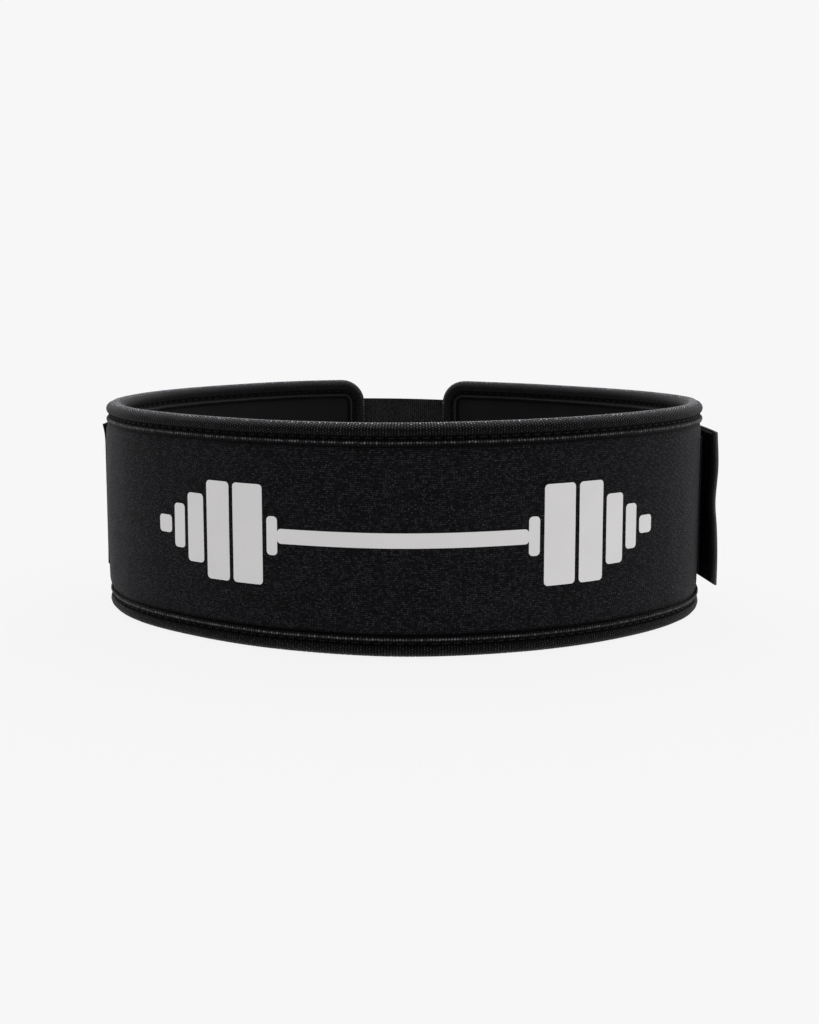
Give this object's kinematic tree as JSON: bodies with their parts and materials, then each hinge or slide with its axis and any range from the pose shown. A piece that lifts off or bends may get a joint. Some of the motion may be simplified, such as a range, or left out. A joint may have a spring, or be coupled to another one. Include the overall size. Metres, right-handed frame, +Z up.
{
  "type": "weightlifting belt",
  "caption": "Padded waist belt for lifting: a foam-cored band with bound edges and rounded ends, closed over the gap between them by a wide hook-and-loop strap.",
  "frame": {"origin": "on the surface the belt stands on, under the middle of its box", "axes": "+Z up the belt's height, +X from its left side to its right side, and +Y from the middle of the back panel to the gap between the ends"},
  "size_m": [0.2962, 0.2522, 0.1007],
  "materials": {
    "pad_fabric": "matt black woven face with a light grey print on the back panel and a smooth lining",
    "binding_tape": "black ribbed binding tape, sewn through in a groove",
    "strap_webbing": "black ribbed webbing",
    "hook_side": "near-black hook tape",
    "loop_side": "black brushed loop pile"
  },
  "bodies": {
    "root": {"support_pad": "pad_fabric", "edge_binding": "binding_tape", "closure_strap": "strap_webbing", "hook_tape": "hook_side", "loop_panel": "loop_side"}
  },
  "joints": []
}
